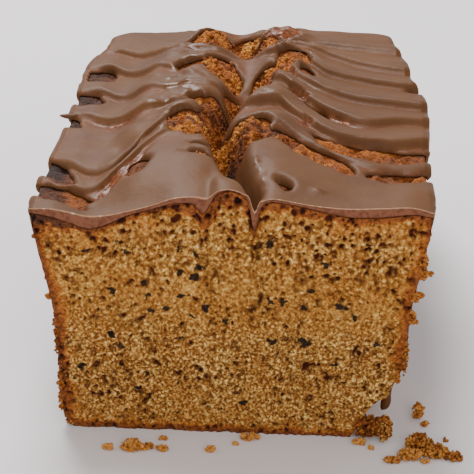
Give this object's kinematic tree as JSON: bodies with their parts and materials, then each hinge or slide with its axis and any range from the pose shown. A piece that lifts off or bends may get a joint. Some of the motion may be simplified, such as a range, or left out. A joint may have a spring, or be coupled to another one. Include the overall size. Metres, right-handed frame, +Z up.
{
  "type": "chocolate loaf cake",
  "caption": "Loaf cake cut across at one end, pale brown crumb with dark specks, browned walls and a cracked top under drizzled chocolate icing.",
  "frame": {"origin": "middle of the base, on the surface that the cake stands on", "axes": "+Z up, +Y along the loaf away from the cut end, +X to the right as the cut end is looked at"},
  "size_m": [0.1266, 0.2038, 0.0839],
  "materials": {
    "sponge": "matte, open brown crumb with a darker baked crust",
    "chocolate_icing": "satin milk chocolate icing"
  },
  "bodies": {
    "root": {"sponge": "sponge", "chocolate_icing": "chocolate_icing"}
  },
  "joints": []
}
